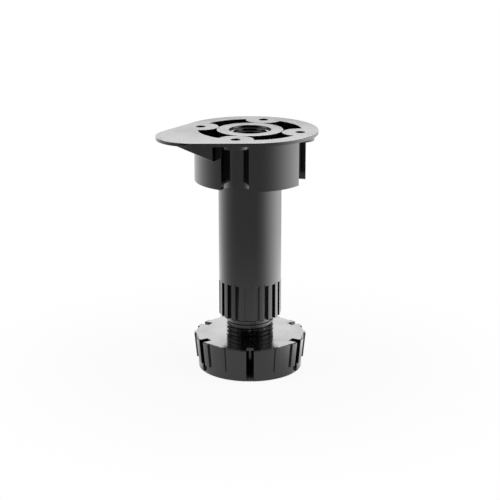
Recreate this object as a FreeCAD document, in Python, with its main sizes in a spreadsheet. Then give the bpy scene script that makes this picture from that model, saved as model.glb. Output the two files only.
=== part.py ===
"""Adjustable cabinet leg: a screw-on mounting plate, a leg tube that drops into it and a foot that
screws into the tube. Millimetres, Z up. The origin is where the leg's axis meets the plate's top face,
which is screwed to the cabinet, and the viewer's side is -Y. Each piece is drawn about its own axis
and then set in its place.
"""
import FreeCAD, Part
import math
import os

from FreeCAD import Vector
from Sketcher import Constraint

os.makedirs("parts", exist_ok=True)
doc = FreeCAD.newDocument("cabinet_leg")

# Driving sizes. Angles are in degrees, seen from above, counted from +X towards +Y.
SIZES = {
    # how far the foot is screwed out as it stands
    "foot_gap": 9.3,
    # mounting plate: a disc with a lobe that reaches under the cabinet's side panel
    "plate_radius": 30.0,
    "plate_thickness": 1.5,
    "lobe_offset": 26.9,
    "lobe_radius": 17.2,
    "lobe_angle": 209.3,
    # screws, 32 by 32 mm
    "screw_circle_radius": 22.63,
    "screw_hole_radius": 2.1,
    "boss_depth": 2.0,
    "recess_radius": 6.2,
    "recess_wall": 1.75,
    # socket skirt under the plate
    "skirt_radius": 24.55,
    "skirt_depth": 22.4,
    "skirt_wall": 1.75,
    "socket_floor": 2.0,
    # gusset that carries the lobe
    "gusset_tip_radius": 10.8,
    "gusset_root_depth": 9.5,
    "gusset_slope": 26.3,
    "gap_width": 3.3,
    "gap_depth": 3.1,
    "gap_rib": 0.8,
    # leg tube
    "tube_length": 84.6,
    "tube_radius": 14.0,
    "tube_angle": -95.0,
    "collar_play": 0.07,
    "socket_play": 0.05,
    "tube_wall": 3.34,
    "mouth_cap": 4.0,
    "mouth_radius": 9.3,
    "mouth_step": 1.75,
    "mouth_rise": 1.05,
    "flute_count": 20,
    "flute_width": 2.2,
    "flute_depth": 1.7,
    "flute_height": 16.25,
    "tube_chamfer": 0.4,
    # foot
    "foot_height": 15.2,
    "foot_angle": -90.0,
    "foot_band_height": 3.7,
    "foot_top_radius": 24.6,
    "foot_flare": 1.1,
    "grip_depth": 0.8,
    "grip_count": 6,
    "slot_width": 3.3,
    "slot_depth": 4.1,
    "slot_roof": 1.0,
    "wide_grip_angle": 23.0,
    "narrow_grip_angle": 7.0,
    "rim_wall": 2.0,
    "foot_top_wall": 2.6,
    "web_thickness": 1.8,
    "web_clearance": 0.6,
    "hub_wall": 3.6,
    # threaded spindle, in one piece with the foot
    "spindle_length": 47.0,
    "spindle_play": 0.06,
    "spindle_wall": 5.5,
    "spindle_roof": 4.0,
    "thread_depth": 1.15,
    "flat_depth": 0.09,
    "flat_angle": 6.8,
    "edge_break": 0.3,
}

sheet = doc.addObject("Spreadsheet::Sheet", "Sizes")
for row, (name, value) in enumerate(SIZES.items(), start=1):
    sheet.set(f"A{row}", name)
    sheet.set(f"B{row}", str(value))
    sheet.setAlias(f"B{row}", name)
doc.recompute()


def bound(text):
    """Turns the size names in an expression into references to the sheet's cells."""
    words = sorted(SIZES, key=len, reverse=True)
    out = ""
    position = 0
    while position < len(text):
        match = next((word for word in words if text.startswith(word, position)), None)
        out += f"Sizes.{match}" if match else text[position]
        position += len(match) if match else 1
    return out


def value_of(text):
    """The number that an expression of sizes gives now."""
    result = sheet.evalExpression(bound(text))
    return float(getattr(result, "Value", result))


def bind(target, path, text):
    """Ties one property of an object to an expression of sizes."""
    target.setExpression(path, bound(text))


def new_body(label, angle, height):
    """An empty body that is turned about Z and lifted to its place."""
    body = doc.addObject("PartDesign::Body", label)
    body.Label = label
    body.Placement = FreeCAD.Placement(Vector(0, 0, 0), FreeCAD.Rotation(Vector(0, 0, 1), value_of(angle)))
    bind(body, "Placement.Rotation.Angle", f"({angle}) * 1 deg")
    bind(body, "Placement.Base.z", height)
    return body


def new_sketch(body, name, role, height="0", turn="0"):
    """A sketch on one of the body's own origin planes, lifted along its normal or turned about Z."""
    sketch = body.newObject("Sketcher::SketchObject", name)
    plane = next(item for item in body.Origin.OriginFeatures if item.Role == role)
    sketch.AttachmentSupport = (plane, [""])
    sketch.MapMode = "FlatFace"
    bind(sketch, "AttachmentOffset.Base.z", height)
    if turn != "0":
        upright = FreeCAD.Rotation(Vector(0, 1, 0), value_of(turn))
        sketch.AttachmentOffset = FreeCAD.Placement(sketch.AttachmentOffset.Base, upright)
        bind(sketch, "AttachmentOffset.Rotation.Angle", f"({turn}) * 1 deg")
    return sketch


def tie_point(sketch, geometry, point, x_text, y_text):
    """Holds a point of the sketch at a place given by two expressions."""
    axes = (("DistanceX", x_text, -2), ("DistanceY", y_text, -1))
    for kind, text, axis in axes:
        if abs(value_of(text)) < 1e-9:
            sketch.addConstraint(Constraint("PointOnObject", geometry, point, axis))
            continue
        index = sketch.addConstraint(Constraint(kind, -1, 1, geometry, point, value_of(text)))
        bind(sketch, f"Constraints[{index}]", text)


def tie_radius(sketch, geometry, text):
    """Gives a circle or an arc its radius by an expression."""
    index = sketch.addConstraint(Constraint("Radius", geometry, value_of(text)))
    bind(sketch, f"Constraints[{index}]", text)


def draw_polygon(sketch, corners):
    """A closed outline of straight lines through corners given as pairs of expressions."""
    points = [Vector(value_of(x), value_of(y), 0) for x, y in corners]
    first = len(sketch.Geometry)
    count = len(points)
    for index, start in enumerate(points):
        sketch.addGeometry(Part.LineSegment(start, points[(index + 1) % count]), False)
    for index, (x_text, y_text) in enumerate(corners):
        tie_point(sketch, first + index, 1, x_text, y_text)
        following = first + (index + 1) % count
        sketch.addConstraint(Constraint("Coincident", first + index, 2, following, 1))


def draw_bar(sketch, near, far, width, angle="0"):
    """A rectangle lying along a radius, turned from the X axis by an angle in degrees."""
    along, across = (f"{word}(({angle}) * 1 deg)" for word in ("cos", "sin"))
    half = f"({width}) / 2"
    corners = ((near, f"-{half}"), (far, f"-{half}"), (far, half), (near, half))
    draw_polygon(
        sketch,
        [
            (f"{out} * {along} - ({side}) * {across}", f"{out} * {across} + ({side}) * {along}")
            for out, side in corners
        ],
    )


def draw_circle(sketch, x_text, y_text, radius_text):
    """A full circle whose centre and radius are expressions."""
    centre = Vector(value_of(x_text), value_of(y_text), 0)
    circle = Part.Circle(centre, Vector(0, 0, 1), value_of(radius_text))
    index = sketch.addGeometry(circle, False)
    tie_point(sketch, index, 3, x_text, y_text)
    tie_radius(sketch, index, radius_text)


def draw_teardrop(sketch, round_text, tip_text, offset_text):
    """A disc at the origin and a smaller one along X, joined by their two outer tangents."""
    big, small, offset = value_of(round_text), value_of(tip_text), value_of(offset_text)
    lean = math.acos((big - small) / offset)
    z_axis = Vector(0, 0, 1)
    tip = Vector(offset, 0, 0)
    turned = [Vector(math.cos(side * lean), math.sin(side * lean), 0) for side in (1, -1)]
    sketch.addGeometry(Part.ArcOfCircle(Part.Circle(Vector(), z_axis, big), lean, 2 * math.pi - lean), False)
    sketch.addGeometry(Part.LineSegment(turned[1] * big, tip + turned[1] * small), False)
    sketch.addGeometry(Part.ArcOfCircle(Part.Circle(tip, z_axis, small), -lean, lean), False)
    sketch.addGeometry(Part.LineSegment(tip + turned[0] * small, turned[0] * big), False)
    for geometry in range(4):
        sketch.addConstraint(Constraint("Tangent", geometry, 2, (geometry + 1) % 4, 1))
    sketch.addConstraint(Constraint("Coincident", 0, 3, -1, 1))
    tie_point(sketch, 2, 3, offset_text, "0")
    tie_radius(sketch, 0, round_text)
    tie_radius(sketch, 2, tip_text)


def pad(body, sketch, length_text, downwards=False):
    """Thickens a sketch along its normal, or against it."""
    feature = body.newObject("PartDesign::Pad", sketch.Name + "Pad")
    feature.Profile = sketch
    feature.Reversed = downwards
    bind(feature, "Length", length_text)
    return feature


def pocket(body, sketch, length_text, downwards=True):
    """Cuts a sketch out of the body to a depth, down from its plane unless told otherwise."""
    feature = body.newObject("PartDesign::Pocket", sketch.Name + "Pocket")
    feature.Profile = sketch
    feature.Reversed = not downwards
    bind(feature, "Length", length_text)
    return feature


def revolve(body, sketch, kind="PartDesign::Revolution", angle_text="360"):
    """Turns a sketch of the XZ plane about Z, evenly to both sides where the turn isn't full."""
    feature = body.newObject(kind, sketch.Name + "Turn")
    feature.Profile = sketch
    feature.ReferenceAxis = (sketch, ["V_Axis"])
    if angle_text != "360":
        feature.Midplane = True
        bind(feature, "Angle", f"({angle_text}) * 1 deg")
    return feature


def repeat_round(body, features, count_text, name):
    """Repeats features about Z in even steps of a full turn."""
    feature = body.newObject("PartDesign::PolarPattern", name)
    feature.Originals = features
    axis = next(item for item in body.Origin.OriginFeatures if item.Role == "Z_Axis")
    feature.Axis = (axis, [""])
    feature.Angle = 360
    bind(feature, "Occurrences", count_text)
    body.Tip = feature
    return feature


def mirror_across(body, features, role, name):
    """Copies features to the other side of one of the body's origin planes."""
    feature = body.newObject("PartDesign::Mirrored", name)
    feature.Originals = features
    plane = next(item for item in body.Origin.OriginFeatures if item.Role == role)
    feature.MirrorPlane = (plane, [""])
    body.Tip = feature
    return feature


# Heights of the pieces' own origins
PLATE_TOP = "0"
TUBE_BOTTOM = "-tube_length"
FOOT_BOTTOM = "-tube_length - foot_gap - foot_height"
SCREW_XY = "screw_circle_radius * cos(45 deg)"


def draw_socket_outline(sketch):
    """The open socket from above: a disc that four round screw columns bite into."""
    disc = value_of("skirt_radius - skirt_wall")
    column = value_of("recess_radius + recess_wall")
    reach = value_of("screw_circle_radius")
    from_axis = math.acos((disc**2 + reach**2 - column**2) / (2 * disc * reach))
    from_screw = math.atan2(disc * math.sin(from_axis), disc * math.cos(from_axis) - reach)
    quarter = math.pi / 2
    z_axis = Vector(0, 0, 1)
    for turn in range(4):
        screw = quarter / 2 + turn * quarter
        around = Part.Circle(Vector(), z_axis, disc)
        sketch.addGeometry(Part.ArcOfCircle(around, screw + from_axis, screw + quarter - from_axis), False)
        centre = Vector(reach * math.cos(screw), reach * math.sin(screw), 0)
        bite = Part.Circle(centre, z_axis, column)
        bite_arc = Part.ArcOfCircle(bite, screw + from_screw, screw + 2 * math.pi - from_screw)
        sketch.addGeometry(bite_arc, False)
    for turn in range(4):
        wall, bite, next_bite = 2 * turn, 2 * turn + 1, (2 * turn + 3) % 8
        sketch.addConstraint(Constraint("Coincident", wall, 1, bite, 1))
        sketch.addConstraint(Constraint("Coincident", wall, 2, next_bite, 2))
        sketch.addConstraint(Constraint("Coincident", wall, 3, -1, 1))
        x_sign, y_sign = (("", ""), ("-", ""), ("-", "-"), ("", "-"))[turn]
        tie_point(sketch, bite, 3, x_sign + SCREW_XY, y_sign + SCREW_XY)
        if turn:
            sketch.addConstraint(Constraint("Equal", 0, wall))
            sketch.addConstraint(Constraint("Equal", 1, bite))
    tie_radius(sketch, 0, "skirt_radius - skirt_wall")
    tie_radius(sketch, 1, "recess_radius + recess_wall")


def make_mounting_plate():
    """The plate lies along X with its lobe, its top face on the XY plane, before it is placed."""
    body = new_body("mounting_plate", "lobe_angle", PLATE_TOP)

    flange = new_sketch(body, "Flange", "XY_Plane")
    draw_teardrop(flange, "plate_radius", "lobe_radius", "lobe_offset")
    pad(body, flange, "plate_thickness", downwards=True)

    skirt = new_sketch(body, "Skirt", "XY_Plane")
    draw_circle(skirt, "0", "0", "skirt_radius")
    pad(body, skirt, "skirt_depth", downwards=True)

    # The gusset is a teardrop block under the lobe whose underside is sliced off on a slope.
    gusset = new_sketch(body, "Gusset", "XY_Plane")
    draw_teardrop(gusset, "skirt_radius", "gusset_tip_radius", "lobe_offset")
    pad(body, gusset, "skirt_depth", downwards=True)
    slice_sketch = new_sketch(body, "GussetSlice", "XZ_Plane")
    reach = "(lobe_offset + lobe_radius)"
    rise = "tan(gusset_slope * 1 deg)"
    draw_polygon(
        slice_sketch,
        [
            ("0", f"-gusset_root_depth - skirt_radius * {rise}"),
            (reach, f"-gusset_root_depth + ({reach} - skirt_radius) * {rise}"),
            (reach, "-2 * skirt_depth"),
            ("0", "-2 * skirt_depth"),
        ],
    )
    slicing = pocket(body, slice_sketch, "4 * plate_radius")
    slicing.Midplane = True
    # The slice also takes the skirt's lower half on that side, so the skirt is put back.
    skirt_again = new_sketch(body, "SkirtAgain", "XY_Plane")
    draw_circle(skirt_again, "0", "0", "skirt_radius")
    pad(body, skirt_again, "skirt_depth", downwards=True)

    # A narrow gap parts the gusset from the rib beside each screwdriver recess.
    make_gusset_gap(body)

    boss = new_sketch(body, "Boss", "XY_Plane")
    draw_circle(boss, SCREW_XY, SCREW_XY, "recess_radius")
    recess = new_sketch(body, "Recess", "XY_Plane", "-plate_thickness")
    draw_circle(recess, SCREW_XY, SCREW_XY, "recess_radius")
    recess_cut = pocket(body, recess, "2 * skirt_depth")
    boss_pad = pad(body, boss, "plate_thickness + boss_depth", downwards=True)
    repeat_round(body, [recess_cut, boss_pad], "4", "RecessesAndBosses")

    socket = new_sketch(body, "Socket", "XY_Plane")
    draw_socket_outline(socket)
    pocket(body, socket, "skirt_depth - socket_floor")

    bore = new_sketch(body, "TubeSeat", "XY_Plane")
    draw_circle(bore, "0", "0", "tube_radius + socket_play")
    pocket(body, bore, "2 * skirt_depth")

    hole = new_sketch(body, "ScrewHole", "XY_Plane")
    draw_circle(hole, SCREW_XY, SCREW_XY, "screw_hole_radius")
    hole_cut = pocket(body, hole, "2 * skirt_depth")
    repeat_round(body, [hole_cut], "4", "ScrewHoles")
    return body


def make_gusset_gap(body):
    """A slot square to the gusset's side wall, from the flange down, on both sides of the lobe."""
    lean = "acos((skirt_radius - gusset_tip_radius) / lobe_offset)"
    # Distances along the side wall, back from where it leaves the skirt
    screw_along = f"screw_circle_radius * sin({lean} - 45 deg)"
    screw_below = f"(skirt_radius - screw_circle_radius * cos({lean} - 45 deg))"
    near = f"({screw_along} + sqrt(recess_radius^2 - {screw_below}^2) + gap_rib)"
    far = f"({near} + gap_width)"
    inner = "(skirt_radius - gap_depth)"
    outer = "(skirt_radius + gap_depth)"
    corners = [
        (f"{out} * cos({lean}) + {along} * sin({lean})", f"{out} * sin({lean}) - {along} * cos({lean})")
        for out, along in ((inner, near), (outer, near), (outer, far), (inner, far))
    ]
    gap = new_sketch(body, "GussetGap", "XY_Plane", "-plate_thickness")
    draw_polygon(gap, corners)
    cut = pocket(body, gap, "skirt_depth - plate_thickness")
    mirror_across(body, [cut], "XZ_Plane", "GussetGaps")


def make_leg_tube():
    """The tube stands on the XY plane before it is placed."""
    body = new_body("leg_tube", "tube_angle", TUBE_BOTTOM)
    collar = "(screw_circle_radius - recess_radius - recess_wall - collar_play)"
    shoulder = "(tube_length - skirt_depth + socket_floor)"
    lower_bore = "(tube_radius - tube_wall)"
    cap = "(tube_length - mouth_cap)"

    wall = new_sketch(body, "Wall", "XZ_Plane")
    draw_polygon(
        wall,
        [
            (lower_bore, "0"),
            ("tube_radius - tube_chamfer", "0"),
            ("tube_radius", "tube_chamfer"),
            ("tube_radius", shoulder),
            (collar, shoulder),
            (collar, "tube_length"),
            ("mouth_radius", "tube_length"),
            ("mouth_radius", "tube_length - mouth_rise"),
            ("mouth_radius - mouth_step", "tube_length - mouth_rise"),
            ("mouth_radius - mouth_step", "tube_length - 2 * mouth_rise"),
            ("mouth_radius - 2 * mouth_step", "tube_length - 2 * mouth_rise"),
            ("mouth_radius - 2 * mouth_step", cap),
            (lower_bore, cap),
        ],
    )
    revolve(body, wall)

    flute = new_sketch(body, "Flute", "XY_Plane")
    draw_bar(flute, "(tube_radius - flute_depth)", "(tube_radius + flute_depth)", "flute_width")
    cut = pocket(body, flute, "flute_height", downwards=False)
    repeat_round(body, [cut], "flute_count", "Flutes")
    return body


def make_adjusting_foot():
    """The foot stands on the XY plane, with a slot along X, before it is turned to its place."""
    body = new_body("adjusting_foot", "foot_angle", FOOT_BOTTOM)
    roof = "(foot_height + spindle_length - spindle_roof)"
    spindle = "(tube_radius - tube_wall - spindle_play)"
    core = f"({spindle} - spindle_wall)"
    hub = f"({core} + hub_wall)"
    band = "(foot_top_radius - foot_flare)"
    cavity = "(foot_top_radius + grip_depth - slot_depth - rim_wall)"
    ceiling = "(foot_height - foot_top_wall)"
    top = "(foot_height + spindle_length)"
    edge = "edge_break"

    turned = new_sketch(body, "FootAndSpindle", "XZ_Plane")
    draw_polygon(
        turned,
        [
            (core, "0"),
            (hub, "0"),
            (hub, ceiling),
            (cavity, ceiling),
            (cavity, "0"),
            (f"{band} - {edge}", "0"),
            (band, edge),
            (band, "foot_band_height"),
            ("foot_top_radius", f"foot_height - {edge}"),
            (f"foot_top_radius - {edge}", "foot_height"),
            (spindle, "foot_height"),
            (spindle, f"{top} - thread_depth"),
            (f"{spindle} - thread_depth", top),
            ("0", top),
            ("0", roof),
            (core, roof),
        ],
    )
    revolve(body, turned)

    # Raised grips: wide ones beside the slots, narrow ones halfway between them
    grips = []
    kinds = (("WideGrip", "wide_grip_angle", "0"), ("NarrowGrip", "narrow_grip_angle", "180 / grip_count"))
    for name, angle_text, turn in kinds:
        grip = new_sketch(body, name, "XZ_Plane", turn=turn)
        inner = f"({band} - rim_wall / 2)"
        draw_polygon(
            grip,
            [
                (inner, "foot_band_height"),
                (f"{band} + grip_depth", "foot_band_height"),
                ("foot_top_radius + grip_depth", f"foot_height - {edge}"),
                (f"foot_top_radius + grip_depth - {edge}", "foot_height"),
                (inner, "foot_height"),
            ],
        )
        grips.append(revolve(body, grip, angle_text=angle_text))
    repeat_round(body, grips, "grip_count", "Grips")

    # Under a thin roof the slots go right through the rim.
    slot = new_sketch(body, "Slot", "XY_Plane")
    slot_inner = "(foot_top_radius + grip_depth - slot_depth)"
    slot_outer = "(foot_top_radius + 2 * grip_depth)"
    draw_bar(slot, slot_inner, slot_outer, "slot_width")
    slot_cut = pocket(body, slot, "foot_height", downwards=False)
    through = new_sketch(body, "ThroughSlot", "XY_Plane")
    draw_bar(through, f"({cavity} - rim_wall / 2)", slot_outer, "slot_width")
    through_cut = pocket(body, through, "foot_height - slot_roof", downwards=False)

    # Webs halfway between the slots join the hub to the rim and stop short of the floor.
    web = new_sketch(body, "Web", "XY_Plane", "web_clearance")
    web_ends = (f"({hub} - hub_wall / 2)", f"({cavity} + rim_wall / 2)")
    draw_bar(web, *web_ends, "web_thickness", "180 / grip_count")
    web_pad = pad(body, web, "foot_height - foot_top_wall / 2 - web_clearance")
    repeat_round(body, [slot_cut, through_cut, web_pad], "grip_count", "SlotsAndWebs")

    # The mould's parting leaves a narrow flat along each side of the thread.
    flat = new_sketch(body, "PartingFlat", "XY_Plane", "foot_height")
    flat_ends = (f"({spindle} - flat_depth)", f"({spindle} + thread_depth)")
    draw_bar(flat, *flat_ends, "4 * thread_depth", "flat_angle")
    flat_cut = pocket(body, flat, "spindle_length", downwards=False)
    repeat_round(body, [flat_cut], "2", "PartingFlats")
    return body


pieces = [make_mounting_plate(), make_leg_tube(), make_adjusting_foot()]
doc.recompute()

for item in doc.Objects:
    faults = [word for word in item.State if word in ("Invalid", "Error")]
    if faults:
        raise RuntimeError(f"{item.Label}: {faults}")
for piece in pieces:
    shape = piece.Shape
    if shape.isNull() or not shape.isValid() or len(shape.Solids) != 1:
        raise RuntimeError(f"{piece.Label} isn't one valid solid")
    print(piece.Label, "volume", round(shape.Volume, 1), "box", shape.BoundBox)
for piece in pieces:
    piece.Shape.exportStep(f"parts/{piece.Label}.step")
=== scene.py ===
import logging
import math
from collections.abc import Callable, Iterator
from contextlib import contextmanager
from dataclasses import dataclass
from enum import Enum

import bpy
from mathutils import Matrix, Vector


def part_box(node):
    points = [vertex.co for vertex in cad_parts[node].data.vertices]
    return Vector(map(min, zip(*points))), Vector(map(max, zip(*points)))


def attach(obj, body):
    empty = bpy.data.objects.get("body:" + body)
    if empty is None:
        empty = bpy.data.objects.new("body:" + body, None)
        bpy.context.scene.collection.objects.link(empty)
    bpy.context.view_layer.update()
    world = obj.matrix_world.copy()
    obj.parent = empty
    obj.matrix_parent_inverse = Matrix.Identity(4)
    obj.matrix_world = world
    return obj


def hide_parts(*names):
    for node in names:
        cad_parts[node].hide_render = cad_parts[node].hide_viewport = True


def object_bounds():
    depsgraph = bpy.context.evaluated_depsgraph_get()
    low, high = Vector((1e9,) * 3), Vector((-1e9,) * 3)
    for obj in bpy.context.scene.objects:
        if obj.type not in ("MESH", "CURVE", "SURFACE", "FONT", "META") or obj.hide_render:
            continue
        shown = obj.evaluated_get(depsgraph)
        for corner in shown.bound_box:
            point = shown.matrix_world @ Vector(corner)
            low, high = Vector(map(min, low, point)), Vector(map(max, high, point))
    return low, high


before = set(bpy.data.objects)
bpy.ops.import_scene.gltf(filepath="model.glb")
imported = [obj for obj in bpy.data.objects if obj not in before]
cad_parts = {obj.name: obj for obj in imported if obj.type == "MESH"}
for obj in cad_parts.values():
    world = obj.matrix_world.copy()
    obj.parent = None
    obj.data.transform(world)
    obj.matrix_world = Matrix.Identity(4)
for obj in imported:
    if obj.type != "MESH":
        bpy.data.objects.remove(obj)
CAD_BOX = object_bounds()

MM = 0.001
LOG = logging.getLogger("cabinet_leg")

Point2 = tuple[float, float]
Point3 = tuple[float, float, float]


class Joinery(Enum):
    """How one solid acts on another."""

    CUT = "DIFFERENCE"
    WELD = "UNION"


class Turned(Enum):
    """How finely a round is divided, in steps of a full turn."""

    HOLE = 48
    COLUMN = 96
    SPINDLE = 120
    TUBE = 252
    FLANGE = 288
    GRIPS = 360


def clear_selection() -> None:
    """Deselects every object, since an operator acts on all that is selected."""
    bpy.ops.object.select_all(action="DESELECT")


def pick(piece: bpy.types.Object) -> None:
    """Makes a piece the only selected and the active object."""
    clear_selection()
    piece.select_set(True)
    bpy.context.view_layer.objects.active = piece


def settle(name: str) -> bpy.types.Object:
    """Names the primitive just added and moves its place into its mesh.

    Args:
        name: The piece's name.

    Returns:
        The object, at the origin, unturned and unscaled.
    """
    piece = bpy.context.object
    piece.name = name
    piece.data.name = name
    bpy.ops.object.transform_apply(location=True, rotation=True, scale=True)
    return piece


@contextmanager
def editing(piece: bpy.types.Object) -> Iterator[None]:
    """Opens a piece in edit mode with everything selected, and closes it again.

    Args:
        piece: The piece to edit.
    """
    pick(piece)
    bpy.ops.object.mode_set(mode="EDIT")
    bpy.ops.mesh.select_mode(type="VERT")
    bpy.ops.mesh.select_all(action="SELECT")
    try:
        yield
    finally:
        bpy.ops.object.mode_set(mode="OBJECT")


def add_round_bar(
    name: str,
    radius: float,
    low: float,
    high: float,
    centre: Point2 = (0.0, 0.0),
    steps: Turned = Turned.COLUMN,
) -> bpy.types.Object:
    """Adds an upright cylinder.

    Args:
        name: The piece's name.
        radius: Its radius in millimetres.
        low: Height of its lower end in millimetres.
        high: Height of its upper end in millimetres.
        centre: Its axis in plan, in millimetres.
        steps: How finely it is divided.

    Returns:
        The new object.
    """
    clear_selection()
    bpy.ops.mesh.primitive_cylinder_add(
        vertices=steps.value,
        radius=radius * MM,
        depth=(high - low) * MM,
        location=(centre[0] * MM, centre[1] * MM, (low + high) / 2 * MM),
    )
    return settle(name)


def add_block(name: str, low: Point3, high: Point3, turn: float = 0.0) -> bpy.types.Object:
    """Adds a block between two corners and then turns it about the leg's axis.

    Args:
        name: The piece's name.
        low: Its lowest corner in millimetres.
        high: Its highest corner in millimetres.
        turn: The turn about Z in degrees.

    Returns:
        The new object.
    """
    clear_selection()
    size = [(b - a) * MM for a, b in zip(low, high)]
    middle = [(a + b) / 2 * MM for a, b in zip(low, high)]
    bpy.ops.mesh.primitive_cube_add(size=1.0, location=middle, scale=size)
    block = settle(name)
    block.rotation_euler.z = math.radians(turn)
    bpy.ops.object.transform_apply(location=False, rotation=True, scale=False)
    return block


def draw_wire(name: str, points: list[Point2], closed: bool) -> bpy.types.Object:
    """Draws an outline in the XZ plane, vertex by vertex.

    Args:
        name: The outline's name.
        points: Radius and height of each corner, in millimetres.
        closed: Whether the last corner is joined to the first.

    Returns:
        An object of edges only.
    """
    clear_selection()
    start = points[0]
    bpy.ops.mesh.primitive_plane_add(size=MM, location=(start[0] * MM, 0.0, start[1] * MM))
    wire = settle(name)
    with editing(wire):
        bpy.ops.mesh.merge(type="CENTER")
        here = start
        for there in [*points[1:], *([start] if closed else [])]:
            step = ((there[0] - here[0]) * MM, 0.0, (there[1] - here[1]) * MM)
            bpy.ops.mesh.extrude_region_move(TRANSFORM_OT_translate={"value": step})
            here = there
        bpy.ops.mesh.select_all(action="SELECT")
        bpy.ops.mesh.remove_doubles(threshold=1e-7)
    return wire


def turn_on_lathe(name: str, points: list[Point2], steps: Turned) -> bpy.types.Object:
    """Spins an outline about the leg's axis.

    Args:
        name: The piece's name.
        points: Radius and height of each corner, in millimetres. An outline that starts and ends on the axis
            is left open there.
        steps: How finely the turn is divided.

    Returns:
        A closed solid of revolution with its faces outwards.
    """
    piece = draw_wire(name, points, closed=max(points[0][0], points[-1][0]) > 0)
    with editing(piece):
        bpy.ops.mesh.spin(steps=steps.value, angle=math.tau, center=(0, 0, 0), axis=(0, 0, 1))
        bpy.ops.mesh.select_all(action="SELECT")
        bpy.ops.mesh.remove_doubles(threshold=1e-6)
        bpy.ops.mesh.normals_make_consistent(inside=False)
    return piece


def trim(piece: bpy.types.Object, point: Point3, normal: Point3) -> None:
    """Saws off what lies on one side of a plane and closes the cut.

    Args:
        piece: The piece to saw.
        point: A point of the plane, in millimetres.
        normal: The direction of the side that goes.
    """
    place = [value * MM for value in point]
    with editing(piece):
        bpy.ops.mesh.bisect(plane_co=place, plane_no=normal, use_fill=True, clear_outer=True)


def select_faces(piece: bpy.types.Object, wanted: Callable[[bpy.types.MeshPolygon], bool]) -> None:
    """Selects the faces of a piece that pass a test, and leaves nothing else selected.

    Args:
        piece: The piece, in object mode.
        wanted: The test, given a face.
    """
    pick(piece)
    bpy.ops.object.mode_set(mode="EDIT")
    bpy.ops.mesh.select_mode(type="FACE")
    bpy.ops.mesh.select_all(action="DESELECT")
    bpy.ops.object.mode_set(mode="OBJECT")
    for face in piece.data.polygons:
        face.select = wanted(face)
    bpy.ops.object.mode_set(mode="EDIT")


def repeat_round(piece: bpy.types.Object, count: int, first: float = 0.0) -> bpy.types.Object:
    """Copies a shape round the axis in even steps, all in one mesh.

    Args:
        piece: The shape to copy.
        count: How many there are in a full turn.
        first: The angle of the first one from where it was drawn, in degrees.

    Returns:
        The same object, holding all the copies.
    """
    piece.rotation_euler.z = math.radians(first)
    pick(piece)
    bpy.ops.object.transform_apply(location=False, rotation=True, scale=False)
    with editing(piece):
        turn = math.tau * (count - 1) / count
        bpy.ops.mesh.spin(steps=count - 1, dupli=True, angle=turn, center=(0, 0, 0), axis=(0, 0, 1))
        bpy.ops.mesh.select_all(action="SELECT")
        bpy.ops.mesh.normals_make_consistent(inside=False)
    return piece


def work(piece: bpy.types.Object, tool: bpy.types.Object, joinery: Joinery) -> None:
    """Cuts a tool out of a piece, or welds it on, and takes the tool away.

    Args:
        piece: The piece that is worked on.
        tool: The solid that is cut out or welded on.
        joinery: Which of the two.
    """
    pick(piece)
    step = piece.modifiers.new("Joinery", "BOOLEAN")
    step.operation = joinery.value
    step.solver = "EXACT"
    step.use_self = False
    step.object = tool
    bpy.ops.object.modifier_apply(modifier=step.name)
    bpy.data.objects.remove(tool)


def wrap_round(name: str, first: bpy.types.Object, second: bpy.types.Object) -> bpy.types.Object:
    """Stretches one skin round two upright bars, as a belt round two pulleys.

    Args:
        name: The new piece's name.
        first: One bar.
        second: The other bar, which is used up.

    Returns:
        The wrapped solid.
    """
    pick(first)
    second.select_set(True)
    bpy.ops.object.join()
    first.name = name
    with editing(first):
        bpy.ops.mesh.convex_hull()
        bpy.ops.mesh.select_all(action="SELECT")
        bpy.ops.mesh.dissolve_limited(angle_limit=math.radians(0.05))
    return first


def round_edges(
    piece: bpy.types.Object,
    width: float,
    sharp: float = 38.0,
    where: Callable[[Vector, Vector], bool] | None = None,
) -> None:
    """Rounds the sharp edges a little, as a mould leaves them.

    Args:
        piece: The piece.
        width: The rounding's width in millimetres.
        sharp: Edges that turn by more than this many degrees are rounded.
        where: A test on an edge's two ends that it must pass as well, or nothing.
    """
    with editing(piece):
        bpy.ops.mesh.remove_doubles(threshold=0.02 * MM)
        bpy.ops.mesh.dissolve_degenerate(threshold=0.01 * MM)
        bpy.ops.mesh.select_mode(type="EDGE")
        bpy.ops.mesh.select_all(action="DESELECT")
        bpy.ops.mesh.edges_select_sharp(sharpness=math.radians(sharp))
        if where:
            bpy.ops.object.mode_set(mode="OBJECT")
            corners = [corner.co for corner in piece.data.vertices]
            for edge in piece.data.edges:
                edge.select = edge.select and where(*(corners[index] for index in edge.vertices))
            bpy.ops.object.mode_set(mode="EDIT")
        bpy.ops.mesh.bevel(offset=width * MM, segments=2, clamp_overlap=False)


def shade(piece: bpy.types.Object, sharp: float = 34.0) -> None:
    """Shades rounds smooth and keeps flats flat.

    Args:
        piece: The piece.
        sharp: Edges that turn by more than this many degrees stay sharp.
    """
    pick(piece)
    bpy.ops.object.shade_smooth_by_angle(angle=math.radians(sharp))
    step = piece.modifiers.new("Shading", "WEIGHTED_NORMAL")
    step.keep_sharp = True
    step.weight = 100
    bpy.ops.object.modifier_apply(modifier=step.name)


def put_in_place(piece: bpy.types.Object, turn: float, height: float) -> None:
    """Turns a finished piece about the axis and lifts it, then moves that into its mesh.

    Args:
        piece: The piece, drawn about its own axis.
        turn: The turn about Z in degrees.
        height: The height of its own origin, in metres.
    """
    piece.rotation_euler.z = math.radians(turn)
    piece.location.z = height
    pick(piece)
    bpy.ops.object.transform_apply(location=True, rotation=True, scale=True)


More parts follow.
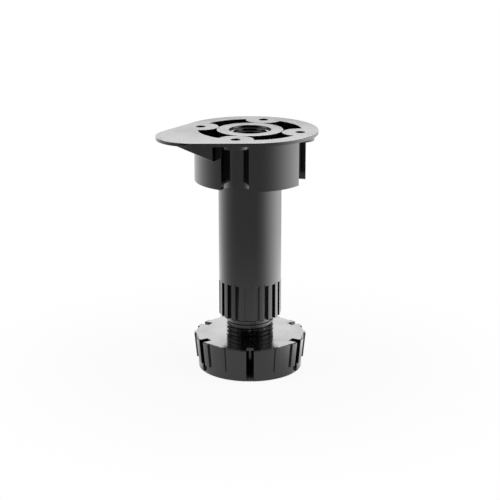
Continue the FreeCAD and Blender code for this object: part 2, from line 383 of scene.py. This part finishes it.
@dataclass(frozen=True)
class ThreadForm:
    """A right-handed screw thread with flat crests and roots, in millimetres."""

    root: float
    crest: float
    pitch: float
    crest_share: float
    flank_share: float
    steps: Turned = Turned.SPINDLE

    def rod(self, name: str, low: float, high: float, phase: float = 0.0) -> bpy.types.Object:
        """Winds the thread into a solid rod with flat ends.

        Args:
            name: The rod's name.
            low: Height of its lower end.
            high: Height of its upper end.
            phase: The angle by which the rod is turned, in degrees.

        Returns:
            The threaded rod.
        """
        flank = self.flank_share * self.pitch
        crest = self.crest_share * self.pitch
        start = low - 1.37 * self.pitch
        rise = [0.0, flank, flank + crest, 2 * flank + crest, self.pitch]
        radii = [self.root, self.crest, self.crest, self.root, self.root]
        rod = draw_wire(name, [(r, start + z) for r, z in zip(radii, rise)], closed=False)
        turns = math.ceil((high - start) / self.pitch) + 1
        step = rod.modifiers.new("Winding", "SCREW")
        step.axis = "Z"
        step.angle = math.tau
        step.screw_offset = self.pitch * MM
        step.iterations = turns
        step.steps = step.render_steps = self.steps.value
        pick(rod)
        bpy.ops.object.modifier_apply(modifier=step.name)
        with editing(rod):
            bpy.ops.mesh.remove_doubles(threshold=2e-6)
            bpy.ops.mesh.quads_convert_to_tris()
            bpy.ops.mesh.normals_make_consistent(inside=False)
        trim(rod, (0, 0, low), (0, 0, -1))
        trim(rod, (0, 0, high), (0, 0, 1))
        rod.rotation_euler.z = math.radians(phase)
        pick(rod)
        bpy.ops.object.transform_apply(location=False, rotation=True, scale=False)
        with editing(rod):
            bpy.ops.mesh.normals_make_consistent(inside=False)
        return rod


def to_linear(colour: str) -> tuple[float, float, float, float]:
    """Turns an sRGB hex colour into Blender's linear colour.

    Args:
        colour: Six hex digits after a number sign.

    Returns:
        Red, green, blue and an alpha of one.
    """
    channels = [int(colour[i : i + 2], 16) / 255 for i in (1, 3, 5)]
    linear = [c / 12.92 if c <= 0.04045 else ((c + 0.055) / 1.055) ** 2.4 for c in channels]
    return (*linear, 1.0)


def add_node(
    tree: bpy.types.NodeTree,
    kind: str,
    settings: dict[str | int, object] | None = None,
    links: dict[str | int, bpy.types.NodeSocket] | None = None,
) -> bpy.types.Node:
    """Adds a shader node with its settings and incoming links.

    Args:
        tree: The node tree.
        kind: The node's type name.
        settings: Attributes, or input sockets by name or number, and their values.
        links: Input sockets by name or number, and the outputs that feed them.

    Returns:
        The new node.
    """
    node = tree.nodes.new(kind)
    for key, value in (settings or {}).items():
        if isinstance(key, int) or key in node.inputs:
            node.inputs[key].default_value = value
        else:
            setattr(node, key, value)
    for key, source in (links or {}).items():
        tree.links.new(source, node.inputs[key])
    return node


@dataclass(frozen=True)
class MouldedPlastic:
    """Black ABS from a fine-eroded mould: satin, dark in the body, with a bright sheen at low angles."""

    name: str
    deep: str = "#0b0b0c"
    pale: str = "#131314"
    refraction: float = 1.49
    roughness: float = 0.15
    roughness_spread: float = 0.04
    # grain that the mould's spark-eroded wall leaves, drawn coarser than the real 0.05 mm so that it shows
    grain_mm: float = 0.35
    grain_height_mm: float = 0.004
    # slow waves where the melt shrank
    wave_mm: float = 16.0

    def make(self) -> bpy.types.Material:
        """Builds the material's nodes.

        Returns:
            The material.
        """
        material = bpy.data.materials.new(self.name)
        material.use_nodes = True
        tree = material.node_tree
        tree.nodes.clear()
        place = add_node(tree, "ShaderNodeTexCoord").outputs["Object"]
        grain = add_node(
            tree,
            "ShaderNodeTexNoise",
            {"Scale": 1 / (self.grain_mm * MM), "Detail": 3.0, "Roughness": 0.6},
            {"Vector": place},
        )
        wave = add_node(
            tree,
            "ShaderNodeTexNoise",
            {"Scale": 1 / (self.wave_mm * MM), "Detail": 2.0, "Roughness": 0.5},
            {"Vector": place},
        )
        colour = add_node(
            tree,
            "ShaderNodeMix",
            {"data_type": "RGBA", 6: to_linear(self.deep), 7: to_linear(self.pale)},
            {"Factor": wave.outputs["Fac"]},
        )
        sheen = add_node(
            tree,
            "ShaderNodeMapRange",
            {
                "From Min": 0.3,
                "From Max": 0.7,
                "To Min": self.roughness - self.roughness_spread,
                "To Max": self.roughness + self.roughness_spread,
            },
            {"Value": wave.outputs["Fac"]},
        )
        bump = add_node(
            tree,
            "ShaderNodeBump",
            {"Strength": 0.5, "Distance": self.grain_height_mm * MM},
            {"Height": grain.outputs["Fac"]},
        )
        shader = add_node(
            tree,
            "ShaderNodeBsdfPrincipled",
            {"IOR": self.refraction, "Specular IOR Level": 0.5},
            {
                "Base Color": colour.outputs[2],
                "Roughness": sheen.outputs["Result"],
                "Normal": bump.outputs["Normal"],
            },
        )
        add_node(tree, "ShaderNodeOutputMaterial", None, {"Surface": shader.outputs["BSDF"]})
        return material


@dataclass
class MountingPlate:
    """The plate that is screwed under the cabinet, drawn with its lobe along +X and its top at z = 0."""

    finish: MouldedPlastic
    radius: float = 30.0
    thickness: float = 1.5
    lobe_offset: float = 26.9
    lobe_radius: float = 17.2
    lobe_angle: float = 209.3
    screw_circle: float = 22.63
    screw_hole: float = 2.1
    boss_depth: float = 2.0
    recess: float = 6.2
    wall: float = 1.75
    skirt: float = 24.55
    skirt_depth: float = 22.4
    socket_floor: float = 2.0
    seat: float = 14.05
    gusset_sink: float = 0.05
    gusset_tip: float = 10.8
    gusset_root: float = 9.5
    gusset_slope: float = 26.3
    gap_width: float = 4.1
    gap_depth: float = 8.0
    edge: float = 0.15
    spare: float = 1.0

    def _on_screws(
        self, name: str, radius: float, low: float, high: float, steps: Turned
    ) -> bpy.types.Object:
        """Stands a bar on each screw's axis.

        Args:
            name: The bars' name.
            radius: Their radius.
            low: Height of their lower ends.
            high: Height of their upper ends.
            steps: How finely they are divided.

        Returns:
            The four bars in one mesh.
        """
        bar = add_round_bar(name, radius, low, high, (self.screw_circle, 0.0), steps)
        return repeat_round(bar, 4, first=45.0)

    def _body(self) -> bpy.types.Object:
        """Joins the flange, the gusset, the skirt and the bosses.

        Returns:
            The plate before anything is cut from it.
        """
        lobe = (self.lobe_offset, 0.0)
        plate = wrap_round(
            "mounting_plate_moulding",
            add_round_bar("flange", self.radius, -self.thickness, 0.0, steps=Turned.FLANGE),
            add_round_bar("lobe", self.lobe_radius, -self.thickness, 0.0, lobe, Turned.FLANGE),
        )
        low = -self.skirt_depth + self.spare
        under = -self.thickness / 2
        gusset = wrap_round(
            "gusset",
            add_round_bar("root", self.skirt - self.gusset_sink, low, under, steps=Turned.FLANGE),
            add_round_bar("tip", self.gusset_tip, low, under, lobe, Turned.COLUMN),
        )
        rise = math.tan(math.radians(self.gusset_slope))
        trim(gusset, (self.skirt, 0.0, -self.gusset_root), (rise, 0.0, -1.0))
        self._cut_gaps(gusset)
        skirt = add_round_bar("skirt", self.skirt, -self.skirt_depth, under, steps=Turned.FLANGE)
        work(skirt, gusset, Joinery.WELD)
        work(plate, skirt, Joinery.WELD)
        depth = self.thickness + self.boss_depth
        boss = self._on_screws("boss", self.recess, -depth - self.spare / 2, under, Turned.COLUMN)
        work(plate, boss, Joinery.WELD)
        return plate

    def _cut_gaps(self, gusset: bpy.types.Object) -> None:
        """Cuts the narrow gaps that part the gusset from the screwdriver recesses, down to the skirt.

        Args:
            gusset: The gusset, before the skirt fills its root and the flange closes the gaps above.
        """
        lean = math.acos((self.skirt - self.gusset_tip) / self.lobe_offset)
        off = lean - math.radians(45.0)
        below = self.skirt - self.screw_circle * math.cos(off)
        near = self.screw_circle * math.sin(off) + math.sqrt(self.recess**2 - below**2)
        for side in (1, -1):
            along = sorted((-side * (near - self.spare), -side * (near + self.gap_width)))
            gap = add_block(
                "gap",
                (self.skirt - self.gap_depth, along[0], -self.skirt_depth - self.spare),
                (self.skirt + self.spare, along[1], self.spare),
                side * math.degrees(lean),
            )
            work(gusset, gap, Joinery.CUT)

    def _cut_socket(self, plate: bpy.types.Object) -> None:
        """Hollows the socket round the screw columns, then bores the seat and the screw holes.

        Args:
            plate: The plate.
        """
        floor = -self.skirt_depth + self.socket_floor
        socket = add_round_bar("socket", self.skirt - self.wall, floor, self.spare, steps=Turned.FLANGE)
        columns = self._on_screws(
            "column", self.recess + self.wall, floor - self.spare, 2 * self.spare, Turned.COLUMN
        )
        work(socket, columns, Joinery.CUT)
        work(plate, socket, Joinery.CUT)
        low = -self.skirt_depth - self.spare
        seat = add_round_bar("seat", self.seat, low, floor + self.spare, steps=Turned.TUBE)
        work(plate, seat, Joinery.CUT)
        work(plate, self._on_screws("hole", self.screw_hole, low, self.spare, Turned.HOLE), Joinery.CUT)

    def build(self) -> bpy.types.Object:
        """Makes, places and finishes the plate.

        Returns:
            The finished piece.
        """
        plate = self._body()
        low, top = -self.skirt_depth - self.spare, -self.thickness - self.boss_depth
        work(plate, self._on_screws("recess", self.recess, low, top, Turned.COLUMN), Joinery.CUT)
        self._cut_socket(plate)
        round_edges(plate, self.edge)
        shade(plate)
        put_in_place(plate, self.lobe_angle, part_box("mounting_plate")[1].z)
        plate.data.materials.append(self.finish.make())
        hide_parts("mounting_plate")
        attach(plate, "plate")
        return plate


@dataclass
class LegTube:
    """The tube, drawn standing on z = 0 with a flute along +X."""

    finish: MouldedPlastic
    length: float = 84.6
    radius: float = 14.0
    turn: float = -95.0
    collar: float = 14.61
    shoulder: float = 64.2
    bore: float = 10.66
    mouth_radii: tuple[float, ...] = (9.3, 7.55, 5.8)
    mouth_depths: tuple[float, ...] = (1.05, 2.1, 4.0)
    flutes: int = 20
    flute_width: float = 2.2
    flute_depth: float = 1.7
    flute_height: float = 16.25
    # where the plain wall starts above the flutes, so that their corners don't crease it
    plain_edge: float = 0.6
    chamfer: float = 0.4
    edge: float = 0.12
    spare: float = 1.0

    def build(self) -> bpy.types.Object:
        """Makes, places and finishes the tube.

        Returns:
            The finished piece.
        """
        outline = [
            (self.bore, 0.0),
            (self.radius - self.chamfer, 0.0),
            (self.radius, self.chamfer),
            (self.radius, self.flute_height + self.plain_edge),
            (self.radius, self.shoulder),
            (self.collar, self.shoulder),
            (self.collar, self.length),
        ]
        tread = self.length
        for radius, depth in zip(self.mouth_radii, self.mouth_depths):
            outline += [(radius, tread), (radius, self.length - depth)]
            tread = self.length - depth
        outline.append((self.bore, tread))
        tube = turn_on_lathe("leg_tube_moulding", outline, Turned.TUBE)
        half = self.flute_width / 2
        flute = add_block(
            "flute",
            (self.radius - self.flute_depth, -half, -self.spare),
            (self.radius + self.spare, half, self.flute_height),
        )
        work(tube, repeat_round(flute, self.flutes), Joinery.CUT)
        round_edges(tube, self.edge)
        shade(tube)
        put_in_place(tube, self.turn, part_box("leg_tube")[0].z)
        tube.data.materials.append(self.finish.make())
        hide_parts("leg_tube")
        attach(tube, "tube")
        return tube


@dataclass
class AdjustingFoot:
    """The castellated foot and its spindle, drawn standing on z = 0 with a slot along +X."""

    finish: MouldedPlastic
    height: float = 15.2
    turn: float = -90.0
    band_radius: float = 23.5
    band_height: float = 3.7
    top_radius: float = 24.6
    grip_depth: float = 0.8
    grips: int = 6
    wide_grip: float = 23.0
    narrow_grip: float = 7.0
    slot_width: float = 3.3
    slot_depth: float = 4.1
    slot_roof: float = 1.0
    # where the plain top starts inside the notches, so that their corners don't crease it
    plain_edge: float = 0.6
    rim_wall: float = 2.0
    top_wall: float = 2.6
    web: float = 1.8
    web_clearance: float = 0.6
    hub: float = 8.7
    core: float = 5.1
    spindle_length: float = 47.0
    spindle_roof: float = 4.0
    thread: ThreadForm = ThreadForm(
        root=10.05, crest=10.6, pitch=2.0, crest_share=0.58, flank_share=0.13, steps=Turned.SPINDLE
    )
    thread_phase: float = 153.0
    flat_depth: float = 0.09
    flat_angle: float = 6.8
    edge_break: float = 0.3
    edge: float = 0.15
    step: float = 0.05
    spare: float = 1.0

    def _rim(self) -> bpy.types.Object:
        """Turns the foot with its hollow underside and draws the grips out of its side.

        Returns:
            The foot without webs, slots or spindle.
        """
        edge = self.edge_break
        core = self.core + self.step
        cavity = self._cavity()
        ceiling = self.height - self.top_wall
        foot = turn_on_lathe(
            "adjusting_foot_moulding",
            [
                (core, 0.0),
                (self.hub, 0.0),
                (self.hub, ceiling),
                (cavity, ceiling),
                (cavity, 0.0),
                (self.band_radius - edge, 0.0),
                (self.band_radius, edge),
                (self.band_radius, self.band_height),
                (self.top_radius, self.height - edge),
                (self.top_radius - edge, self.height),
                (self.top_radius + self.grip_depth - self.slot_depth - self.plain_edge, self.height),
                (core, self.height),
            ],
            Turned.GRIPS,
        )
        put_in_place(foot, 180.0 / Turned.GRIPS.value, 0.0)
        select_faces(foot, self._is_grip)
        stretch = 1.0 + self.grip_depth / self.top_radius
        bpy.ops.mesh.extrude_region_move()
        bpy.ops.transform.resize(value=(stretch, stretch, 1.0), center_override=(0, 0, 0))
        bpy.ops.object.mode_set(mode="OBJECT")
        return foot

    def _cavity(self) -> float:
        """Works out how far the hollow reaches, behind the slots.

        Returns:
            The hollow's outer radius in millimetres.
        """
        return self.top_radius + self.grip_depth - self.slot_depth - self.rim_wall

    def _is_grip(self, face: bpy.types.MeshPolygon) -> bool:
        """Tells whether a face of the turned foot lies where a grip stands.

        Args:
            face: A face of the foot.

        Returns:
            True beside the slots and halfway between them, above the lower band.
        """
        centre = face.center
        outside = math.hypot(centre.x, centre.y) > (self.band_radius - self.edge_break) * MM
        if not outside or centre.z < self.band_height * MM:
            return False
        step = 360.0 / self.grips
        angle = math.degrees(math.atan2(centre.y, centre.x)) % step
        from_slot = min(angle, step - angle)
        return from_slot < self.wide_grip / 2 or from_slot > (step - self.narrow_grip) / 2

    def _cut_slots(self, foot: bpy.types.Object) -> None:
        """Welds the webs halfway between the slots and cuts the slots, open below their thin roofs.

        Args:
            foot: The foot.
        """
        web = add_block(
            "web",
            (self.hub - self.spare, -self.web / 2, self.web_clearance),
            (self._cavity() + self.spare, self.web / 2, self.height - self.top_wall / 2),
        )
        work(foot, repeat_round(web, self.grips, 180.0 / self.grips), Joinery.WELD)
        outer = self.top_radius + self.grip_depth
        half = self.slot_width / 2
        reach = outer + self.spare
        roof = self.height - self.slot_roof
        above = self.height + self.spare
        slot = add_block("slot", (self._cavity() - self.spare, -half, -self.spare), (reach, half, roof))
        notch = add_block("notch", (outer - self.slot_depth, -half, 0.0), (reach, half, above))
        work(slot, notch, Joinery.WELD)
        work(foot, repeat_round(slot, self.grips), Joinery.CUT)

    def _is_outer_edge(self, start: Vector, end: Vector) -> bool:
        """Tells whether an edge belongs to the rim's outside and not to the hollow or the spindle.

        Args:
            start: One end of the edge.
            end: The other end.

        Returns:
            True outside the hollow.
        """
        reach = (self._cavity() + self.spare) * MM
        return math.hypot(start.x, start.y) > reach and math.hypot(end.x, end.y) > reach

    def _spindle(self) -> bpy.types.Object:
        """Winds the spindle, flattens it along two strips, bores its core and breaks its top edge.

        Returns:
            The spindle, its lower end inside the foot.
        """
        top = self.height + self.spindle_length
        low = self.height - 0.51 * self.top_wall
        root, crest = self.thread.root, self.thread.crest
        spindle = self.thread.rod("spindle", low, top, self.thread_phase)
        half = 2 * (crest - root)
        flat = add_block(
            "flat",
            (crest - self.flat_depth, -half, low - self.spare),
            (crest + self.spare, half, top + self.spare),
        )
        work(spindle, repeat_round(flat, 2, self.flat_angle), Joinery.CUT)
        core = add_round_bar("core", self.core, low - self.spare, top - self.spindle_roof)
        work(spindle, core, Joinery.CUT)
        corner = turn_on_lathe(
            "corner",
            [
                (root - self.spare, top + self.spare),
                (crest + self.spare, top - (crest - root) - self.spare),
                (crest + self.spare, top + self.spare),
            ],
            Turned.FLANGE,
        )
        work(spindle, corner, Joinery.CUT)
        return spindle

    def build(self) -> bpy.types.Object:
        """Makes, places and finishes the foot.

        Returns:
            The finished piece.
        """
        foot = self._rim()
        self._cut_slots(foot)
        work(foot, self._spindle(), Joinery.WELD)
        round_edges(foot, self.edge, where=self._is_outer_edge)
        shade(foot)
        put_in_place(foot, self.turn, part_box("adjusting_foot")[0].z)
        foot.data.materials.append(self.finish.make())
        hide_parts("adjusting_foot")
        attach(foot, "foot")
        return foot


@dataclass(frozen=True)
class PaintedSheenLobe:
    """A lobe of painted sheen: a side on which the floor glows brighter in the leg's reflections. Its
    azimuth is counted from the camera's side.
    """

    azimuth: float
    strength: float
    narrowness: float


@dataclass(frozen=True)
class SoftBox:
    """A soft light: where it hangs and its width and height in metres, and its power in watts."""

    name: str
    place: Point3
    size: Point2
    power: float


@dataclass
class Studio:
    """The pale floor, the soft lights and the camera, in metres."""

    floor_height: float
    floor_half: float = 3.0
    floor_colour: str = "#f2f2f2"
    mirrored_share: float = 0.9
    paper: float = 0.65
    # painted sheen: close to the leg the floor glows this much brighter in the leg's reflections, fading out
    # over the next two distances in metres
    painted_near_sheen: float = 0.65
    painted_near_sheen_reach: Point2 = (0.03, 0.26)
    # painted sheen: sides on which the floor glows brighter in the leg's reflections, strongest at the
    # right; the next line gives the distances from the leg over which they fade in
    painted_sheen_lobes: tuple[PaintedSheenLobe, ...] = (PaintedSheenLobe(97.0, 3.8, 3.5), PaintedSheenLobe(-122.0, 1.35, 4.5))
    painted_sheen_lobe_reach: Point2 = (0.022, 0.07)
    shadow_near: float = 0.025
    shadow_far: float = 0.16
    shadow_depth: float = 0.08
    under_foot: float = 0.0234
    ambient: float = 0.55
    soft_boxes: tuple[SoftBox, ...] = (
        SoftBox("left_soft_box", (-0.75, -0.05, 0.15), (0.5, 0.9), 2.0),
        SoftBox("right_soft_box", (0.75, -0.1, 0.15), (0.5, 0.9), 3.0),
        SoftBox("back_soft_box", (0.0, 2.0, 0.62), (2.4, 0.32), 7.1),
        SoftBox("top_soft_box", (0.0, 0.1, 0.9), (0.8, 0.8), 2.0),
    )
    flag_size: float = 2.4
    flag_place: Point3 = (0.0, -1.1, 1.1)
    flag_colour: str = "#050505"
    camera_back: float = 0.62185
    camera_height: float = 0.12706
    camera_pitch: float = 16.33
    lens: float = 103.96
    sensor: float = 36.0
    clip_start: float = 0.01

    def floor(self) -> bpy.types.Object:
        """Lays a wide flat floor that looks white to the camera and keeps the shadow.

        Returns:
            The floor.
        """
        clear_selection()
        bpy.ops.mesh.primitive_plane_add(size=2 * self.floor_half, location=(0, 0, self.floor_height))
        floor = settle("studio_floor")
        material = bpy.data.materials.new("matt_white_paper_with_painted_sheen")
        material.use_nodes = True
        tree = material.node_tree
        tree.nodes.clear()
        paper = add_node(
            tree, "ShaderNodeBsdfDiffuse", {"Color": to_linear(self.floor_colour), "Roughness": 1.0}
        )
        place = add_node(tree, "ShaderNodeTexCoord").outputs["Object"]
        plan = add_node(
            tree, "ShaderNodeVectorMath", {"operation": "MULTIPLY", 1: (1.0, 1.0, 0.0)}, {0: place}
        ).outputs["Vector"]
        reach = add_node(tree, "ShaderNodeVectorMath", {"operation": "LENGTH"}, {0: plan}).outputs["Value"]
        rays = add_node(tree, "ShaderNodeLightPath").outputs
        camera = rays["Is Camera Ray"]
        fade = add_node(
            tree,
            "ShaderNodeMapRange",
            {
                "interpolation_type": "SMOOTHSTEP",
                "From Min": self.shadow_near,
                "From Max": self.shadow_far,
                "To Min": 1.0 - self.shadow_depth,
                "To Max": 1.0,
            },
            {"Value": reach},
        ).outputs["Result"]
        seen = add_node(tree, "ShaderNodeMath", {"operation": "MULTIPLY"}, {0: camera, 1: fade}).outputs[0]
        gloss = {0: rays["Is Glossy Ray"], 1: rays["Is Transmission Ray"]}
        mirrored = add_node(tree, "ShaderNodeMath", {"operation": "MAXIMUM"}, gloss).outputs[0]
        held = add_node(
            tree, "ShaderNodeMath", {"operation": "MULTIPLY", 1: self.mirrored_share}, {0: mirrored}
        ).outputs[0]
        shown = add_node(tree, "ShaderNodeMath", {"operation": "MAXIMUM"}, {0: seen, 1: held}).outputs[0]
        clear = add_node(
            tree, "ShaderNodeMath", {"operation": "GREATER_THAN", 1: self.under_foot}, {0: reach}
        ).outputs[0]
        share = add_node(tree, "ShaderNodeMath", {"operation": "MULTIPLY"}, {0: shown, 1: clear}).outputs[0]
        # to the camera the floor glows plain white; in glossy rays it glows with painted sheen for the leg
        # to reflect
        strength = add_node(
            tree,
            "ShaderNodeMix",
            {"data_type": "FLOAT", "B": 1.0},
            {"Factor": camera, "A": self._painted_sheen_strength(tree, plan, reach)},
        ).outputs["Result"]
        glow = add_node(tree, "ShaderNodeEmission", {"Color": (1, 1, 1, 1)}, {"Strength": strength})
        mix = add_node(
            tree, "ShaderNodeMixShader", None, {"Fac": share, 1: paper.outputs[0], 2: glow.outputs[0]}
        )
        add_node(tree, "ShaderNodeOutputMaterial", None, {"Surface": mix.outputs[0]})
        floor.data.materials.append(material)
        return floor

    def _painted_sheen_strength(
        self, tree: bpy.types.NodeTree, plan: bpy.types.NodeSocket, reach: bpy.types.NodeSocket
    ) -> bpy.types.NodeSocket:
        """Finds how bright the floor glows in the leg's reflections, as painted sheen: most at the right,
        and near the foot.

        Args:
            tree: The node tree to add to.
            plan: The place on the floor.
            reach: Its distance from the leg's axis, in metres.

        Returns:
            The strength's socket.
        """
        way = add_node(tree, "ShaderNodeVectorMath", {"operation": "NORMALIZE"}, {0: plan})
        strength = add_node(
            tree,
            "ShaderNodeMapRange",
            {
                "interpolation_type": "SMOOTHSTEP",
                "From Min": self.painted_near_sheen_reach[0],
                "From Max": self.painted_near_sheen_reach[1],
                "To Min": self.paper + self.painted_near_sheen,
                "To Max": self.paper,
            },
            {"Value": reach},
        ).outputs["Result"]
        near, wide = self.painted_sheen_lobe_reach
        far = add_node(
            tree,
            "ShaderNodeMapRange",
            {"interpolation_type": "SMOOTHSTEP", "From Min": near, "From Max": wide},
            {"Value": reach},
        ).outputs["Result"]
        # painted sheen: each lobe makes the floor glow brighter towards one side
        for side in self.painted_sheen_lobes:
            angle = math.radians(side.azimuth)
            middle = (math.sin(angle), -math.cos(angle), 0.0)
            towards = add_node(
                tree,
                "ShaderNodeVectorMath",
                {"operation": "DOT_PRODUCT", 1: middle},
                {0: way.outputs["Vector"]},
            )
            facing = add_node(
                tree, "ShaderNodeMath", {"operation": "MAXIMUM", 1: 0.0}, {0: towards.outputs["Value"]}
            )
            lobe = add_node(
                tree, "ShaderNodeMath", {"operation": "POWER", 1: side.narrowness}, {0: facing.outputs[0]}
            )
            lobe = add_node(tree, "ShaderNodeMath", {"operation": "MULTIPLY"}, {0: lobe.outputs[0], 1: far})
            strength = add_node(
                tree,
                "ShaderNodeMath",
                {"operation": "MULTIPLY_ADD", 1: side.strength},
                {0: lobe.outputs[0], 2: strength},
            ).outputs[0]
        return strength

    def _seen_directly(self, tree: bpy.types.NodeTree) -> bpy.types.NodeSocket:
        """Finds the rays that the camera, a gloss or a clear body sends out.

        Args:
            tree: The node tree to add to.

        Returns:
            A socket that is one on such rays.
        """
        rays = add_node(tree, "ShaderNodeLightPath").outputs
        seen = {0: rays["Is Camera Ray"], 1: rays["Is Glossy Ray"]}
        gloss = add_node(tree, "ShaderNodeMath", {"operation": "MAXIMUM"}, seen).outputs[0]
        every = {0: gloss, 1: rays["Is Transmission Ray"]}
        return add_node(tree, "ShaderNodeMath", {"operation": "MAXIMUM"}, every).outputs[0]

    def world(self) -> None:
        """Makes the surroundings white where they are seen or mirrored, and softer where they light."""
        world = bpy.data.worlds.new("studio")
        bpy.context.scene.world = world
        world.use_nodes = True
        tree = world.node_tree
        tree.nodes.clear()
        ambient = add_node(tree, "ShaderNodeBackground", {"Color": (1, 1, 1, 1), "Strength": self.ambient})
        white = add_node(tree, "ShaderNodeBackground", {"Color": (1, 1, 1, 1), "Strength": 1.0})
        links = {"Fac": self._seen_directly(tree), 1: ambient.outputs[0], 2: white.outputs[0]}
        mix = add_node(tree, "ShaderNodeMixShader", None, links)
        add_node(tree, "ShaderNodeOutputWorld", None, {"Surface": mix.outputs[0]})

    def light(self, box: SoftBox) -> None:
        """Hangs a soft light that faces the middle of the leg and that the camera doesn't see.

        Args:
            box: The light.
        """
        clear_selection()
        bpy.ops.object.light_add(type="AREA", location=box.place)
        lamp = bpy.context.object
        lamp.name = box.name
        lamp.data.shape = "RECTANGLE"
        lamp.data.size, lamp.data.size_y = box.size
        lamp.data.energy = box.power
        lamp.visible_camera = False
        leg = Vector((0.0, 0.0, self.floor_height / 2))
        lamp.rotation_euler = (leg - Vector(box.place)).to_track_quat("-Z", "Y").to_euler()

    def flag(self) -> None:
        """Stands a matt black panel behind the camera, to darken what the leg mirrors above the floor."""
        clear_selection()
        bpy.ops.mesh.primitive_plane_add(
            size=self.flag_size, location=self.flag_place, rotation=(math.pi / 2, 0.0, 0.0)
        )
        flag = settle("studio_flag")
        flag.visible_camera = False
        material = bpy.data.materials.new("matt_black_cloth")
        material.use_nodes = True
        tree = material.node_tree
        tree.nodes.clear()
        colour = to_linear(self.flag_colour)
        cloth = add_node(tree, "ShaderNodeBsdfDiffuse", {"Color": colour, "Roughness": 1.0})
        add_node(tree, "ShaderNodeOutputMaterial", None, {"Surface": cloth.outputs[0]})
        flag.data.materials.append(material)

    def camera(self) -> None:
        """Sets the camera where the photograph was taken from."""
        clear_selection()
        bpy.ops.object.camera_add(
            location=(0.0, -self.camera_back, self.camera_height),
            rotation=(math.radians(90.0 - self.camera_pitch), 0.0, 0.0),
        )
        camera = bpy.context.object
        camera.name = "product_camera"
        camera.data.lens = self.lens
        camera.data.sensor_width = self.sensor
        camera.data.clip_start = self.clip_start
        bpy.context.scene.camera = camera

    def build(self) -> None:
        """Sets up floor, surroundings, lamps and camera."""
        self.floor()
        self.world()
        for box in self.soft_boxes:
            self.light(box)
        self.flag()
        self.camera()
        bpy.context.scene.view_settings.view_transform = "Standard"


def triangles(piece: bpy.types.Object) -> int:
    """Counts a piece's triangles.

    Args:
        piece: The piece.

    Returns:
        The number of triangles.
    """
    return sum(len(face.vertices) - 2 for face in piece.data.polygons)


def main() -> None:
    """Builds the leg's three mouldings and the studio, and reports each piece."""
    logging.basicConfig(level=logging.INFO, format="%(name)s: %(message)s")
    parts = (
        MountingPlate(MouldedPlastic("black_abs_plate_satin_moulded")),
        LegTube(MouldedPlastic("black_abs_tube_satin_moulded")),
        AdjustingFoot(MouldedPlastic("black_abs_foot_satin_moulded")),
    )
    for part in parts:
        piece = part.build()
        LOG.info("%s: %d triangles", piece.name, triangles(piece))
    Studio(floor_height=CAD_BOX[0].z).build()


if __name__ == "__main__":
    main()
